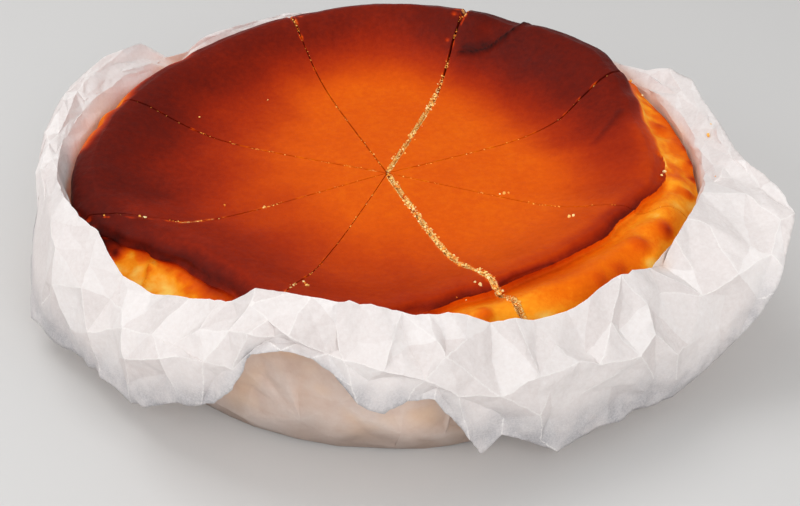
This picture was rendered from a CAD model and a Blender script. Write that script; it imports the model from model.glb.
"""The looks of a Basque burnt cheesecake: its burnt top, its soft yellow side, the crumbs that the knife left
and the crumpled baking parchment round it.

Metres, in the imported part's frame: the origin is under the middle of the cake, +Z up, and the front is -Y.
"""

import math
import random

import bmesh
import bpy
from mathutils import Matrix, Vector, geometry, noise
from mathutils.bvhtree import BVHTree


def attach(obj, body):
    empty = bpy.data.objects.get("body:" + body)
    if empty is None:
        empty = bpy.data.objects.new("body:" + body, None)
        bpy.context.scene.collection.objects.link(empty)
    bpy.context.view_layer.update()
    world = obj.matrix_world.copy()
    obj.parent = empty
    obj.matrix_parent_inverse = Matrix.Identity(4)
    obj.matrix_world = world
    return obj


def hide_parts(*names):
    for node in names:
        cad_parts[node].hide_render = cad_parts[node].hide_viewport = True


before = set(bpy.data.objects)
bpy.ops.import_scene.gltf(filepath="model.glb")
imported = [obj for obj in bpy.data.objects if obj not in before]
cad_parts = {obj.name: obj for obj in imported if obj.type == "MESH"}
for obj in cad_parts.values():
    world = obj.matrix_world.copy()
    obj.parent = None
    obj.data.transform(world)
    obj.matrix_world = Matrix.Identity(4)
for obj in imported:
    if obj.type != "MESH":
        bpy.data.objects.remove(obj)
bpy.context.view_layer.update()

MM = 0.001

# The cake's driving dimensions, the same as in the part's source.
CAKE_RADIUS = 117.0 * MM
MIDDLE_HEIGHT = 42.0 * MM
CAKE_BOTTOM = 1.2 * MM
DISH_STEEPNESS = 3.4
CUT_CENTRE = Vector((0.6 * MM, -5.7 * MM))

# Each cut, counter-clockwise, as amounts at growing radii in mm: its direction in degrees, half its width in
# mm, and how much the knife crumbled its edges.
CUTS = (
    (
        ((0, 22.3), (50, 22.3), (79, 24.4), (89, 26.6), (100, 27.5), (116, 29)),
        ((0, 0.2), (60, 0.25), (80, 0.4), (100, 0.55), (116, 0.9)),
        ((0, 0.5), (45, 0.4), (66, 0.1), (116, 0)),
    ),
    (
        ((0, 69.5), (60, 70), (90, 71.5), (116, 71)),
        ((0, 0.7), (56, 0.85), (72, 0.5), (98, 0.5), (108, 1.5), (116, 2)),
        ((0, 1), (58, 1), (74, 0.4), (98, 0.3), (105, 0.6), (116, 0.6)),
    ),
    (
        ((0, 112), (116, 112)),
        ((0, 0.25), (96, 0.25), (104, 0.7), (116, 1.3)),
        ((0, 0.25), (92, 0.25), (102, 0.5), (116, 0.5)),
    ),
    (
        ((0, 161), (50, 160.5), (116, 161.5)),
        ((0, 0.25), (60, 0.3), (100, 0.45), (116, 0.4)),
        ((0, 0.6), (25, 0.4), (60, 0.3), (100, 0.1), (116, 0.1)),
    ),
    (
        ((0, 205.5), (60, 206.5), (86, 209), (98, 206.5), (116, 200)),
        ((0, 0.2), (116, 0.25)),
        ((0, 0.3), (60, 0.45), (86, 0.6), (98, 0.3), (116, 0.2)),
    ),
    (
        ((0, 249.5), (60, 248.5), (116, 249.5)),
        ((0, 0.2), (116, 0.2)),
        ((0, 0.2), (80, 0.3), (92, 0.7), (98, 0.5), (116, 0.3)),
    ),
    (
        ((0, 290.5), (60, 290.8), (80, 292), (95, 293.5), (116, 293.5)),
        ((0, 0.8), (60, 0.9), (96, 0.9), (104, 1.1), (116, 1.1)),
        ((0, 1), (94, 1), (104, 0.75), (116, 0.7)),
    ),
    (
        ((0, 338), (50, 337), (75, 335.5), (95, 335), (116, 339)),
        ((0, 0.2), (116, 0.2)),
        ((0, 0.35), (60, 0.35), (80, 0.35), (95, 0.1), (116, 0.1)),
    ),
)

# The rim, section by section: angle in degrees, then radius and height in mm of its crest, of the crust's
# edge or the crease in it, of the shelf or roll outside that, and of the brow where the side begins.
RIM_SECTIONS = (
    (8, (100, 54.5), (104, 53), (110, 48.5), (118, 46.5)),
    (17, (103, 56), (107.5, 54), (112, 49.5), (118, 46.5)),
    (26, (106, 58), (111, 56.5), (114.5, 52.5), (117.5, 48)),
    (35, (109, 59.5), (114.5, 57.5), (117.5, 54), (118.5, 49)),
    (50, (109, 59.5), (114.5, 57.5), (117, 54), (118, 49)),
    (58, (107, 58), (112.5, 56.5), (115.5, 53.5), (117, 48.5)),
    (66, (107.5, 60), (113, 58), (116, 54.5), (117.5, 49)),
    (90, (109, 60), (114.5, 57.5), (117, 54), (118, 48.5)),
    (112, (107.5, 58.5), (112.5, 56.5), (115.5, 52.5), (117, 47)),
    (140, (106, 57), (110.5, 55.5), (114, 51), (116.5, 46)),
    (160, (107.5, 56.5), (112.5, 54.8), (116, 51), (118, 46)),
    (172, (109.5, 56.5), (115.5, 54), (118.5, 50.5), (119.5, 46)),
    (190, (112, 55.5), (118, 53), (120.5, 49.5), (121, 45.5)),
    (199, (111.5, 54), (118.5, 51.5), (121, 48.5), (121.5, 45)),
    (205, (107.5, 53), (115, 51), (118, 47.5), (120.5, 44)),
    (211, (101.5, 52.5), (108.5, 50.5), (109.5, 46), (118, 42)),
    (217, (96.5, 52.5), (103, 50.5), (104, 45), (116, 40.5)),
    (226, (92, 52.5), (98, 50.5), (100, 45), (114.5, 40)),
    (236, (93, 52.5), (99, 50.5), (102, 46), (114.5, 41)),
    (246, (99, 53.5), (104.5, 52), (108.5, 49), (115.5, 44)),
    (257, (105, 55), (110, 53.5), (113.5, 50.5), (116.5, 46)),
    (268, (104, 54.5), (109, 52.5), (113, 51.5), (117, 46.5)),
    (277, (98, 53), (103, 50.5), (110, 52.5), (117.5, 47)),
    (286, (93.5, 52.5), (98.5, 49.5), (108.5, 53), (118, 47)),
    (300, (91, 52), (95.5, 49), (107, 53), (118, 47)), (312, (92, 52), (97, 49), (108, 53), (118.5, 47)),
    (326, (94.5, 52), (99.5, 49), (109.5, 53), (119, 47)),
    (336, (98, 52), (103, 49.5), (112, 52.5), (120, 47)),
    (344, (102, 52.5), (106.5, 50.5), (113.5, 51), (121, 47)),
    (353, (101.5, 53.5), (105.5, 52), (111.5, 49), (119.5, 46.5)),
)

# The side of the cake: its radius short of the brow's in mm, at shares of the brow's height.
SIDE_INSETS = ((0.0, 4.0), (0.25, 1.3), (0.62, 0.2), (1.0, 0.0))

# Shallow waves that the parchment's pleats pressed into the side of the cake: waves round it and depth.
PLEATS = ((9, 0.8 * MM), (23, 0.5 * MM))

# The parchment outside the cake, section by section: angle in degrees, then radius and height in mm of the
# lip it turns over, of the fold below or beyond that, and of its free edge.
PAPER_SECTIONS = (
    (3, (121.5, 52.5), (127, 56), (131, 57)), (11, (121, 52.5), (126.5, 55), (132, 55.5)),
    (17, (120.5, 51.5), (127, 56.5), (133.5, 58)), (22, (120, 49.5), (125, 55), (130.5, 57)),
    (29, (120, 46.5), (122.5, 48.5), (125, 50)), (36, (120, 47), (121.5, 48.5), (122.5, 49.5)),
    (60, (119.5, 48), (121, 50), (122.5, 51)), (90, (120, 49), (121.5, 51.5), (122.5, 53)),
    (104, (119.5, 48), (121, 50.5), (122, 52)), (112, (119, 49.5), (121, 52.5), (122.5, 54)),
    (118, (118.5, 48), (120.5, 51), (122.5, 52.5)), (125, (118.5, 48.5), (121, 51), (122.5, 53)),
    (132, (118.5, 48), (121, 51), (122.5, 52.5)), (140, (118.5, 45), (120.5, 46.5), (121.5, 48)),
    (147, (120, 54), (122.5, 59.5), (124.5, 62.5)), (156, (121, 56), (126, 61), (129, 63.5)),
    (163, (121.5, 56.5), (126, 62), (130, 63.5)), (171, (122.5, 57), (127, 62), (130.5, 63)),
    (180, (123.5, 57), (128, 60), (132, 59)), (188, (124, 58), (129.5, 57.5), (133, 53)),
    (193, (124, 59), (130.5, 54.5), (134.5, 44)), (197, (124, 60), (132, 51), (141, 26)),
    (203, (123.5, 61.5), (134, 50), (144, 13)), (209, (122, 62), (135, 48), (141, 12)),
    (215, (119.5, 60), (133.5, 45), (136.5, 14)), (221, (119, 49), (132.5, 38), (135, 15)),
    (229, (119, 50.5), (132.5, 38), (135.5, 12)), (233, (119, 54), (133.5, 41), (136.5, 17)),
    (238, (119.5, 57.5), (133.5, 46), (136.5, 25)), (242, (119.5, 60.5), (133, 49), (136.5, 29)),
    (246, (119.5, 62.5), (132.5, 54), (136, 33)), (249, (120, 70), (131, 59), (135.5, 41)),
    (251.5, (120, 71), (130, 62), (134, 56)), (256, (120, 71), (129.5, 62.5), (133, 59)),
    (260, (120, 70.5), (129.5, 61), (132.5, 57)), (263, (120, 69.5), (130, 58), (133.5, 52)),
    (266, (119.5, 68.5), (131, 56), (134.5, 42)), (269.5, (119.5, 67.5), (132.5, 54), (135, 38.5)),
    (272.5, (119.5, 65.5), (132.5, 53), (134.5, 43)), (276, (119.5, 64), (133, 51.5), (135, 43)),
    (279, (119.5, 64), (133.5, 48), (135.5, 32)), (282.5, (120, 62), (134, 45), (136, 16.5)),
    (285.5, (120, 57.5), (134, 43), (135.5, 23)), (289.5, (120.5, 57.5), (134.5, 42), (136, 17)),
    (294, (120.5, 53.5), (135.5, 38), (136, 9)), (298.5, (120.5, 53.5), (136.5, 37), (135.5, 10)),
    (303, (120.5, 55.5), (137, 36), (135.5, 11)), (308, (120.5, 58.5), (138.5, 35), (136, 10)),
    (312, (121, 57.5), (140.5, 35), (137.5, 9)), (317, (121, 52.5), (143.5, 36.5), (140.5, 10.5)),
    (321.8, (121, 47.5), (146, 38.5), (146.5, 17)), (324, (122, 56.5), (148, 41), (150.5, 25)),
    (328, (122.5, 60), (150, 47), (156, 41)), (331, (122.5, 60.5), (149, 51), (157, 50)),
    (337, (122.5, 59), (140, 58.5), (155, 59.5)), (343, (122.5, 55.5), (132.5, 58), (145, 60)),
    (348, (122.5, 53), (129, 57), (136, 59.5)), (355, (122, 53), (127.5, 57), (132, 58.5)),
)

# How the oven browned the top: angle in degrees, the shares of the crest's radius where the browning starts
# and where it is full, and how brown it is there, from 0 for pale to 1 for black.
TOP_BROWNING = (
    (0, 0.58, 0.90, 0.66), (15, 0.45, 0.90, 0.80), (30, 0.42, 0.87, 0.84), (45, 0.42, 0.87, 0.88),
    (60, 0.46, 0.92, 0.90), (75, 0.53, 0.93, 0.86), (90, 0.56, 0.96, 0.80), (105, 0.56, 0.95, 0.80),
    (120, 0.52, 0.95, 0.81), (135, 0.36, 0.98, 0.82), (150, 0.28, 0.98, 0.84), (165, 0.24, 0.98, 0.89),
    (180, 0.12, 1.02, 0.88), (195, 0.18, 1.02, 0.89), (206, 0.10, 1.00, 0.76), (222, 0.18, 1.00, 0.70),
    (240, 0.16, 1.00, 0.71), (255, 0.20, 0.95, 0.62), (270, 0.20, 0.95, 0.56), (285, 0.25, 1.00, 0.49),
    (300, 0.60, 1.02, 0.40), (315, 0.70, 1.02, 0.41), (330, 0.68, 1.02, 0.46), (345, 0.58, 0.92, 0.57),
)
MIDDLE_BROWNING = 0.31

# How brown the rim is: angle, then at each of the rim's stations.
RIM_STATIONS = (1.0, 1.4, 2.0, 2.5, 3.0, 3.5, 4.0)
RIM_BROWNING = (
    (2, 0.56, 0.54, 0.46, 0.10, 0.17, 0.24, 0.36), (14, 0.80, 0.80, 0.74, 0.10, 0.15, 0.20, 0.30),
    (24, 0.86, 0.88, 0.90, 0.40, 0.30, 0.24, 0.16), (36, 0.88, 0.90, 0.92, 0.92, 0.90, 0.60, 0.30),
    (56, 0.88, 0.90, 0.92, 0.94, 0.92, 0.70, 0.35), (66, 0.92, 0.94, 0.95, 0.94, 0.92, 0.70, 0.35),
    (76, 0.84, 0.86, 0.88, 0.90, 0.88, 0.70, 0.30), (95, 0.79, 0.81, 0.84, 0.86, 0.84, 0.70, 0.30),
    (120, 0.80, 0.82, 0.84, 0.84, 0.80, 0.50, 0.25), (138, 0.82, 0.84, 0.84, 0.60, 0.30, 0.20, 0.12),
    (143, 0.82, 0.60, 0.20, 0.18, 0.18, 0.16, 0.12), (149, 0.84, 0.84, 0.80, 0.60, 0.40, 0.25, 0.12),
    (158, 0.86, 0.86, 0.50, 0.30, 0.30, 0.20, 0.12), (163, 0.84, 0.50, 0.18, 0.16, 0.16, 0.14, 0.12),
    (174, 0.86, 0.60, 0.20, 0.18, 0.16, 0.12, 0.10), (180, 0.87, 0.80, 0.30, 0.22, 0.20, 0.20, 0.20),
    (184, 0.87, 0.88, 0.90, 0.85, 0.70, 0.50, 0.20), (192, 0.88, 0.89, 0.91, 0.93, 0.93, 0.60, 0.30),
    (203, 0.87, 0.88, 0.91, 0.94, 0.95, 0.70, 0.30), (209, 0.84, 0.85, 0.88, 0.92, 0.88, 0.55, 0.20),
    (214, 0.80, 0.82, 0.86, 0.88, 0.30, 0.12, 0.06), (219, 0.76, 0.78, 0.90, 0.88, 0.20, 0.08, 0.04),
    (226, 0.73, 0.80, 0.90, 0.86, 0.30, 0.07, 0.03), (233, 0.73, 0.80, 0.90, 0.84, 0.50, 0.14, 0.06),
    (240, 0.71, 0.77, 0.86, 0.80, 0.55, 0.40, 0.20), (246, 0.70, 0.76, 0.84, 0.80, 0.50, 0.40, 0.20),
    (258, 0.64, 0.70, 0.80, 0.60, 0.40, 0.30, 0.20), (272, 0.60, 0.70, 0.60, 0.40, 0.28, 0.20, 0.15),
    (283, 0.58, 0.72, 0.26, 0.16, 0.12, 0.11, 0.08), (293, 0.54, 0.66, 0.34, 0.22, 0.15, 0.16, 0.10),
    (300, 0.48, 0.58, 0.42, 0.30, 0.22, 0.20, 0.15), (308, 0.50, 0.60, 0.36, 0.28, 0.24, 0.22, 0.16),
    (316, 0.56, 0.66, 0.27, 0.24, 0.24, 0.24, 0.16), (324, 0.62, 0.72, 0.20, 0.18, 0.20, 0.20, 0.10),
    (331, 0.70, 0.75, 0.17, 0.14, 0.20, 0.22, 0.10), (339, 0.60, 0.68, 0.24, 0.16, 0.18, 0.14, 0.08),
    (347, 0.52, 0.58, 0.42, 0.18, 0.24, 0.15, 0.10), (354, 0.54, 0.54, 0.46, 0.12, 0.18, 0.19, 0.16),
)

# Where the crust ends on the rim: angle, station, how sharply its colour ends, and how deep the crease is
# there, both from 0 to 1. The deep crease is along the front right, where the crust meets the roll.
CRUST_EDGE = (
    (274, 1.90, 0, 0), (280, 1.80, 1, 0.9), (286, 1.73, 1, 1), (293, 1.82, 1, 1), (301, 1.70, 1, 1),
    (309, 1.64, 1, 1), (315, 1.70, 1, 1), (320, 1.84, 1, 1), (329, 1.54, 1, 1), (336, 1.64, 1, 1),
    (342, 2.00, 1, 0.8), (347, 2.35, 1, 0.1), (355, 2.50, 1, 0), (5, 2.62, 1, 0), (16, 2.70, 1, 0),
    (24, 2.90, 0.6, 0), (32, 3.00, 0, 0), (136, 1.90, 0, 0), (142, 1.70, 0.8, 0), (147, 2.20, 0, 0),
    (158, 1.90, 0, 0), (163, 1.35, 0.9, 0), (174, 1.40, 0.9, 0), (181, 1.90, 0.9, 0), (185, 2.40, 0, 0),
    (204, 3.80, 0.9, 0), (208, 3.90, 1, 0), (212, 3.80, 1, 0), (214.3, 3.42, 1, 0), (216, 3.00, 1, 0),
    (218.3, 2.85, 1, 0), (221, 3.15, 1, 0), (224.5, 3.40, 1, 0), (228, 3.55, 1, 0), (232, 3.60, 1, 0),
    (238, 3.50, 0.8, 0), (244, 2.90, 0, 0),
)

# Single dimples, lumps and stains of the rim: angle, station, reach in mm, push in mm, how much browner.
SPOTS = (
    (286.6, 3.17, 2.6, -1.8, 0.16), (283.5, 2.9, 2.2, 0.7, 0), (296.5, 3.75, 2.6, 0.3, -0.14),
    (309.4, 3.45, 3, -0.5, 0.12), (314.3, 3.45, 3, -0.6, 0.16), (321.9, 3.25, 3.4, -1.5, 0.18),
    (321, 3.85, 3, 0.8, -0.14), (325, 3, 3.5, 0.9, -0.04), (329.5, 3.5, 3, -1.4, 0.36),
    (332.5, 2.8, 3, 0.6, -0.08), (338, 3.2, 3.4, 0.8, -0.10), (343, 3.5, 2.2, -1, 0.20),
    (350, 3.9, 2, -0.4, 0.40), (355.5, 4, 2, 0, 0.40), (1, 4, 1.8, 0, 0.30), (351.5, 3.05, 3, -0.4, 0.12),
    (4.5, 3.2, 2.4, 0.7, -0.12), (8.5, 3.25, 3.2, -0.5, 0.20), (17, 3.5, 2, -0.5, 0.14),
    (20, 3.2, 2.2, 0.6, -0.16), (143, 2.5, 4, 2.4, -0.10), (165, 2.4, 3.6, 2.8, -0.04),
    (172, 2.5, 3.8, 2.6, 0), (200.5, 2.1, 2.4, -0.6, 0), (203.4, 2.3, 1.3, 0.6, -0.42),
    (201, 2.6, 1.2, 0.4, -0.30), (206.5, 1.9, 2.2, -0.5, 0.03), (206, 2.5, 1.2, 0.5, -0.34),
    (208, 2.95, 1.1, 0.9, -0.35), (208.5, 3.70, 4, 0, 0.55), (211.5, 3.45, 2.2, 0, 0.45),
    (210.5, 2.3, 2.6, -1, 0.04), (213.5, 3.2, 2, 1, -0.20), (215, 3.65, 3.4, 1.8, -0.06),
    (217.2, 3, 2.4, 1.6, -0.16), (224.5, 3.5, 3.6, 2, -0.05), (229.5, 3.35, 2, -1, 0.10),
    (231.5, 3.5, 2.4, 1, 0.05), (62, 0.93, 5, 1, -0.05), (71.9, 1.25, 1.5, 0.4, -0.55),
    (72.1, 0.97, 1.2, 0.3, -0.45), (71.9, 0.85, 0.8, 0.2, -0.35), (110.6, 1, 1.1, 0.2, -0.4),
    (50.2, 0.52, 1.2, 0.3, 0.05), (28.6, 0.72, 1, -0.3, 0.03),
)

# Narrow folds in the crust: their points by angle and station, then reach in mm, push in mm, browner.
FOLDS = (
    (((67.5, 0.80), (62.9, 0.82), (59.9, 0.85), (58, 0.90), (56.1, 0.96), (55, 1.9)), 0.8, -1.4, 0.13),
    (((66.5, 0.83), (63, 0.84), (60.8, 0.87)), 2.3, 0, 0.09),
    (((3.4, 0.83), (7.9, 0.91), (11.2, 0.96)), 1.6, -0.5, 0.08),
    (((218.3, 3.2), (219.8, 3.45), (221.5, 3.8)), 1, -1.8, 0.12),
    (((292.5, 1.5), (297, 1.25), (303, 1.35), (307, 1.6)), 0.7, -0.7, 0.12),
)

# Stretches of the rim, by their middle and half their length in degrees.
LEDGE = (224.0, 20.0)
SHOULDER = (8.0, 22.0)
ROLL = (306.0, 36.0)
LEDGE_BORDER = (222.0, 18.0)
SHOULDER_BORDER = (8.0, 16.0)
UNDERCUT = (221.0, 15.0)
ROUGH_STRETCHES = ((224.0, 18.0), (6.0, 22.0))

# The relief of the skin: the stretch that it is on, the push in mm, the size of its noise in mm, and the
# noise's seed.
RELIEF = (
    ("all over", 0.22, 26.0, 3.0),
    ("rim", 0.3, 8.5, 9.0),
    ("rim", 0.1, 2.6, 2.0),
    ("ledge", 1.8, 9.0, 5.0),
    ("ledge", 0.5, 3.5, 6.0),
    ("shoulder", 1.0, 8.0, 7.0),
    ("shoulder", 0.3, 3.0, 8.0),
    ("roll", 0.6, 13.0, 4.0),
)

# The forms along the crust's edge, in mm: what is hollowed out under it, its crease, the roll's lip outside
# the crease, and the step down from the crust where there is none.
UNDERCUT_DEPTH = 1.6
CREASE_DEPTH = 1.5
LIP_HEIGHT = 0.9
STEP_HEIGHT = 0.7

CAMERA_PLACE = Vector((0.7, -401.3, 299.8)) * MM
CAMERA_AIM = Vector((5.5, -2.2, 0.0)) * MM
CAMERA_ROLL = math.radians(-0.43)
CAMERA_LENS = 54.0


def clamp(value, low=0.0, high=1.0):
    return min(max(value, low), high)


def smooth(share):
    share = clamp(share)
    return share * share * (3.0 - 2.0 * share)


def lerp(low, high, share):
    return low + (high - low) * share


def neighbours(sections, degrees):
    """The two sections on either side of an angle, and how far it is from the first to the second."""
    degrees %= 360.0
    after = next((i for i, row in enumerate(sections) if row[0] > degrees), 0)
    before = sections[after - 1]
    nearest = sections[after]
    span = (nearest[0] - before[0]) % 360.0
    return before, nearest, smooth(((degrees - before[0]) % 360.0) / span)


def around(sections, degrees):
    """The points of a ring of sections at any angle, eased from one section to the next."""
    before, nearest, share = neighbours(sections, degrees)
    return [
        (lerp(a[0], b[0], share) * MM, lerp(a[1], b[1], share) * MM)
        for a, b in zip(before[1:], nearest[1:])
    ]


def amounts(sections, degrees):
    """The plain numbers of a ring of sections at any angle."""
    before, nearest, share = neighbours(sections, degrees)
    return [lerp(a, b, share) for a, b in zip(before[1:], nearest[1:])]


def along(knots, place):
    """A value read from rising knots, in straight runs."""
    for (low, low_value), (high, high_value) in zip(knots, knots[1:]):
        if place <= high:
            return lerp(low_value, high_value, max(0.0, (place - low) / (high - low)))
    return knots[-1][1]


def curve_point(points, place):
    """A point on the smooth curve through a few points, where place counts points and parts of them."""
    index = min(int(place), len(points) - 2)
    t = place - index
    near = points[index]
    far = points[index + 1]
    before = points[index - 1] if index else tuple(2 * a - b for a, b in zip(near, far))
    after = points[index + 2] if index + 2 < len(points) else tuple(2 * b - a for a, b in zip(near, far))
    return tuple(
        0.5 * (2 * b + (c - a) * t + (2 * a - 5 * b + 4 * c - d) * t * t + (3 * b - a - 3 * c + d) * t ** 3)
        for a, b, c, d in zip(before, near, far, after)
    )


def bump_noise(place, size, seed=0.0):
    """Soft noise from -1 to 1 whose lumps have this size."""
    return noise.noise(place / size + Vector((seed, 1.7 * seed, -2.3 * seed)))


def noise_along(distance, size, seed, row=0.0):
    """Soft noise from -1 to 1 along a line; other rows have other noise."""
    return bump_noise(Vector((distance, row, 0.0)), size, seed)


def angle_of(place):
    """The angle of a point round the cake, in degrees from 0 to 360."""
    return math.degrees(math.atan2(place.y, place.x)) % 360.0


# The cake.

CREST = 1.0
EDGE = 2.0
BROW = 4.0
FOOT = 5.0

TOP_ROWS = 84
RIM_ROWS = 22
SIDE_ROWS = 18
SLICE_COLUMNS = 84

# A cut is a groove with torn flanks down to this depth, deepest where it did not crumble, and nearly shut
# below it; its faces are then drawn down to the base in these steps.
GROOVE_DEPTHS = (3.0 * MM, 0.9 * MM)
GROOVE_SHARE = 0.3
CUT_STEPS = (0.0, 0.1, 0.3, 0.6, 1.0)
CRUMBLE_WIDTH = 0.75 * MM
# How brown the skin is at most beside a torn edge, and how brown the torn inside is.
PALE_FRINGE = 0.2
PALE_INSIDE = 0.18


def pleat(degrees):
    turn = math.radians(degrees)
    return sum(depth * math.sin(waves * turn + waves) for waves, depth in PLEATS)


def side_radius(degrees, brow_radius, height_share):
    inset = along(SIDE_INSETS, height_share) * MM
    return brow_radius - inset + pleat(degrees) * math.sin(math.pi * height_share)


def crust_point(degrees, station):
    """Radius and height of the cake's skin at a station from the middle (0) to the foot of the side."""
    crest, edge, shelf, brow = around(RIM_SECTIONS, degrees)
    if station <= CREST:
        swell = 0.5 - 0.5 * math.cos(math.pi * station ** DISH_STEEPNESS)
        return crest[0] * station, lerp(MIDDLE_HEIGHT, crest[1], swell)
    if station <= BROW:
        return curve_point((crest, edge, shelf, brow), station - CREST)
    height_share = FOOT - station
    return side_radius(degrees, brow[0], height_share), lerp(CAKE_BOTTOM, brow[1], height_share)


def row_stations():
    top = [(i / TOP_ROWS) ** 0.9 for i in range(TOP_ROWS + 1)]
    rim = [CREST + i / RIM_ROWS for i in range(1, 3 * RIM_ROWS + 1)]
    side = [BROW + i / SIDE_ROWS for i in range(1, SIDE_ROWS + 1)]
    return top + rim + side


def place_on_cake(radius, degrees, height):
    """A point by its radius and angle, with rings that drift from the cut centre out to the cake's axis."""
    drift = CUT_CENTRE * max(0.0, 1.0 - radius / CAKE_RADIUS)
    turn = math.radians(degrees)
    return Vector((drift.x + radius * math.cos(turn), drift.y + radius * math.sin(turn), height))


def cut_angle(cut, radius):
    """Where a cut crosses the ring of this radius; its knots are seen from the cut centre."""
    seen = math.radians(along(cut[0], radius / MM))
    sideways = CUT_CENTRE.y * math.cos(seen) - CUT_CENTRE.x * math.sin(seen)
    return math.degrees(seen + math.asin(sideways / CAKE_RADIUS))


def half_width(cut, radius):
    return along(cut[1], radius / MM) * MM


def crumbliness(cut, radius):
    return along(cut[2], radius / MM)


def crumble(cut, side, radius):
    """How far the crust has broken away from one edge of a cut, at this radius."""
    seed = cut[0][0][1] + 40.0 * side
    coarse = noise_along(radius, 3.1 * MM, seed, seed * MM)
    fine = noise_along(radius, 1.1 * MM, seed, seed * MM)
    return CRUMBLE_WIDTH * crumbliness(cut, radius) ** 2 * clamp(0.25 + 0.9 * coarse + 0.6 * fine)


def slice_angle(left, right, share, radius, broken, opened):
    """The angle of a column of a slice on one ring, between the faces of its two cuts."""
    start = cut_angle(left, radius)
    end = start + (cut_angle(right, radius) - start) % 360.0
    reach = max(radius, 1.0 * MM)
    left_gap = opened * half_width(left, radius) + broken * crumble(left, 1, radius)
    right_gap = opened * half_width(right, radius) + broken * crumble(right, -1, radius)
    start += math.degrees(math.asin(min(1.0, left_gap / reach)))
    end -= math.degrees(math.asin(min(1.0, right_gap / reach)))
    return lerp(start, end, share)


def tip_radius(left, right):
    """How far from the cut centre the two faces of a slice meet."""
    wedge = math.radians((cut_angle(right, 0.0) - cut_angle(left, 0.0)) % 360.0)
    return 0.5 * (half_width(left, 0.0) + half_width(right, 0.0)) / math.sin(0.5 * wedge)


def column_share(column):
    """Columns lie closer together beside the cuts."""
    share = column / SLICE_COLUMNS
    return share - 0.09 * math.sin(2.0 * math.pi * share)


def skin_place(left, right, column, station, broken=1.0, opened=1.0):
    """Where a slice's skin is, and its angle and radius round the cake."""
    if station == 0.0:
        radius = tip_radius(left, right)
        degrees = slice_angle(left, right, 0.5, CAKE_RADIUS, 0.0, 1.0)
        return place_on_cake(radius, degrees, MIDDLE_HEIGHT), degrees, radius
    radius = CAKE_RADIUS * min(station, CREST)
    for _ in range(2):
        degrees = slice_angle(left, right, column_share(column), radius, broken, opened)
        radius, height = crust_point(degrees, station)
    return place_on_cake(radius, degrees, height), degrees, radius


def within(degrees, middle, half, soft=8.0):
    """1 inside a range of angles and 0 outside it, with soft ends."""
    away = abs((degrees - middle + 180.0) % 360.0 - 180.0)
    return smooth((half + soft - away) / soft)


def spot_place(degrees, station):
    radius, height = crust_point(degrees, station)
    return place_on_cake(radius, degrees, height)


def line_distance(place, corners):
    """How far a point is from a line through these corners, seen from above."""
    flat = place.to_2d()
    runs = zip(corners, corners[1:])
    return min((flat - nearest_on(flat, a.to_2d(), b.to_2d())).length for a, b in runs)


def nearest_on(point, start, end):
    run = end - start
    return start + run * clamp((point - start).dot(run) / run.length_squared)


SPOT_PLACES = [(spot_place(*spot[:2]), *spot[2:]) for spot in SPOTS]
FOLD_PLACES = [([spot_place(*corner) for corner in fold[0]], *fold[1:]) for fold in FOLDS]


def local_marks(place):
    """The push in metres and the browner share of the single marks near a point."""
    push = 0.0
    browner = 0.0
    for centre, reach, depth, burnt in SPOT_PLACES:
        away = (place - centre).length / (reach * MM)
        if away < 2.5:
            push += depth * MM * math.exp(-away * away)
            browner += burnt * math.exp(-away * away)
    for corners, reach, depth, burnt in FOLD_PLACES:
        if (place - corners[0]).length < 60.0 * MM:
            away = line_distance(place, corners) / (reach * MM)
            push += depth * MM * math.exp(-away * away)
            browner += burnt * math.exp(-away * away)
    return push, browner


def crust_edge(degrees):
    """The station where the crust ends at an angle, how sharply its colour ends and the crease's depth."""
    station, sharp, depth = amounts(CRUST_EDGE, degrees)
    wander = noise_along(degrees * MM, 3.0 * MM, 14.0)
    ragged = noise_along(degrees * MM, 1.1 * MM, 15.0)
    return station + lerp(0.12, 0.05, depth) * wander + 0.06 * (1.0 - depth) * ragged, sharp, depth


def rim_relief(place, degrees, station):
    """The lumps, wrinkles and dimples of the skin, as a push along its normal."""
    outside = smooth((station - EDGE) / 0.6) * smooth((BROW + 0.6 - station) / 0.6)
    shares = {
        "all over": 1.0,
        "rim": smooth((station - 0.72) / 0.28),
        "ledge": outside * within(degrees, *LEDGE),
        "shoulder": outside * within(degrees, *SHOULDER),
        "roll": outside * within(degrees, *ROLL),
    }
    push = 0.0
    for stretch, height, size, seed in RELIEF:
        if shares[stretch]:
            push += shares[stretch] * height * bump_noise(place, size * MM, seed)
    line, sharp, depth = crust_edge(degrees)
    past = station - line
    push -= UNDERCUT_DEPTH * within(degrees, *UNDERCUT) * math.exp(-((station - 2.6) / 0.22) ** 2)
    push -= CREASE_DEPTH * depth * math.exp(-(past / 0.11) ** 2)
    push += LIP_HEIGHT * depth * smooth(past / 0.12) * smooth((1.0 - past) / 0.9)
    push += STEP_HEIGHT * sharp * (1.0 - depth) * smooth(-past / 0.1) * smooth((past + 1.0) / 0.8)
    behind_paper = smooth((station - BROW + 0.3) / 0.6)
    return lerp(push * MM + local_marks(place)[0], 0.0, behind_paper)


def rim_level(degrees, station):
    """How brown the rim is, with a hard edge where the crust ends."""
    line, sharp, depth = crust_edge(degrees)
    if station < line:
        held = min(station, RIM_STATIONS[1])
        burnt = 0.12 * smooth((station - line + 0.5) / 0.5)
    else:
        held = max(station, line + 0.3 * (1.0 - depth), RIM_STATIONS[2])
        burnt = 0.06 * smooth((line + 0.2 - station) / 0.2)
    near = smooth((line + 0.22 - station) / 0.22) * (station >= line)
    border = (0.26 * within(degrees, *LEDGE_BORDER) - 0.16 * within(degrees, *SHOULDER_BORDER)) * near
    knots = list(zip(RIM_STATIONS, amounts(RIM_BROWNING, degrees))) + [(FOOT, 0.06)]
    return max(0.0, along(knots, lerp(station, held, sharp)) + depth * burnt + sharp * border)


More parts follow.
